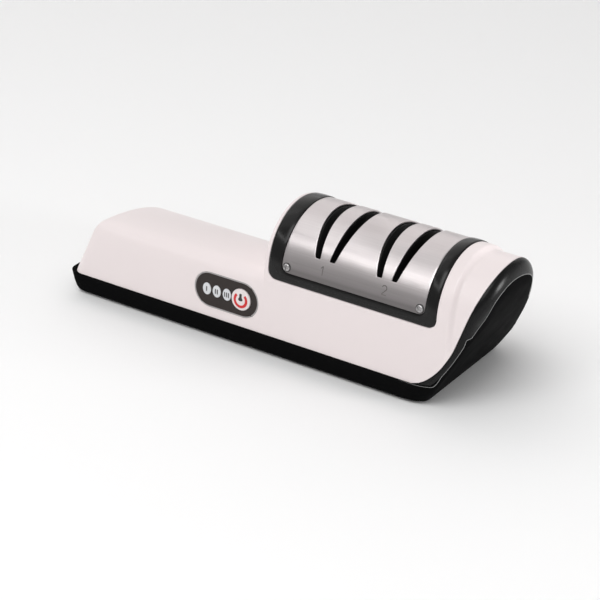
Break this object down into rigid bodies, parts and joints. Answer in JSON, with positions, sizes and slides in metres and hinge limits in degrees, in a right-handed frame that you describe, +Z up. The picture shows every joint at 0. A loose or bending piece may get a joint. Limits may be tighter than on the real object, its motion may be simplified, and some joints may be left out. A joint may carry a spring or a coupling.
{
  "type": "electric knife sharpener",
  "caption": "Worktop knife sharpener: moulded shell on a tray, arched steel cover with slots for blades, push button and a geared motor that turns conical grinding wheels.",
  "frame": {"origin": "middle of the bounding box at the height of the table", "axes": "+X runs along the body from the hand rest to the sharpening end, -Y faces the user and the control panel, +Z is up"},
  "size_m": [0.285, 0.0916, 0.0869],
  "materials": {
    "black_plastic": "fine satin moulding texture",
    "white_plastic": "smooth moulded satin gloss",
    "button_plastic": "smooth, slightly clear",
    "frame_plastic": "satin black",
    "label_film": "printed film, satin",
    "brushed_cover": "brushed along the length",
    "bright_steel": "bright plated",
    "foot_rubber": "matt",
    "fine_abrasive": "bonded fine grit",
    "coarse_abrasive": "bonded coarse grit",
    "nylon": "natural moulded",
    "brass": "turned",
    "board_laminate": "coated laminate"
  },
  "bodies": {
    "housing": {"base_tray": "black_plastic", "end_trim": "black_plastic", "fine_guide": "black_plastic", "coarse_guide": "black_plastic", "power_switch": "black_plastic", "drive_frame": "black_plastic", "motor_cradle": "black_plastic", "power_inlet": "black_plastic", "upper_shell": "white_plastic", "indicator_window_1": "button_plastic", "indicator_window_2": "button_plastic", "indicator_window_3": "button_plastic", "indicator_led_1": "button_plastic", "indicator_led_2": "button_plastic", "indicator_led_3": "button_plastic", "bezel_frame": "frame_plastic", "control_label": "label_film", "steel_cover": "brushed_cover", "cover_screw_front_left": "bright_steel", "cover_screw_front_right": "bright_steel", "cover_screw_rear_left": "bright_steel", "cover_screw_rear_right": "bright_steel", "base_screw_front_left": "bright_steel", "base_screw_rear_left": "bright_steel", "base_screw_front_right": "bright_steel", "base_screw_rear_right": "bright_steel", "motor": "bright_steel", "motor_strap": "bright_steel", "rubber_foot_front_left": "foot_rubber", "rubber_foot_rear_left": "foot_rubber", "rubber_foot_front_right": "foot_rubber", "rubber_foot_rear_right": "foot_rubber", "left_bush": "brass", "right_bush": "brass", "circuit_board": "board_laminate"},
    "grinding": {"wheel_shaft": "bright_steel", "fine_wheel_left": "fine_abrasive", "fine_wheel_right": "fine_abrasive", "coarse_wheel_left": "coarse_abrasive", "coarse_wheel_right": "coarse_abrasive", "gear_spacer": "nylon", "wheel_spacer": "nylon", "end_spacer": "nylon", "driven_gear": "nylon"},
    "rotor": {"motor_shaft": "bright_steel", "drive_pinion": "brass"},
    "button": {"power_button": "button_plastic"}
  },
  "joints": [
    {"name": "wheel_spin", "type": "hinge", "parent": "housing", "child": "grinding", "pos_m": [0, -0.0082, 0.05], "axis": [1, 0, 0], "continuous": true},
    {"name": "motor_spin", "type": "hinge", "parent": "housing", "child": "rotor", "pos_m": [0, -0.0082, 0.024], "axis": [1, 0, 0], "continuous": true},
    {"name": "power_press", "type": "slide", "parent": "housing", "child": "button", "axis": [0, 0.9955, -0.0949], "range_m": [0, 0.0006], "stiffness_N_per_m": 1500}
  ],
  "couplings": [
    {"joint": "motor_spin", "follows": "wheel_spin", "ratio": -2.25}
  ]
}
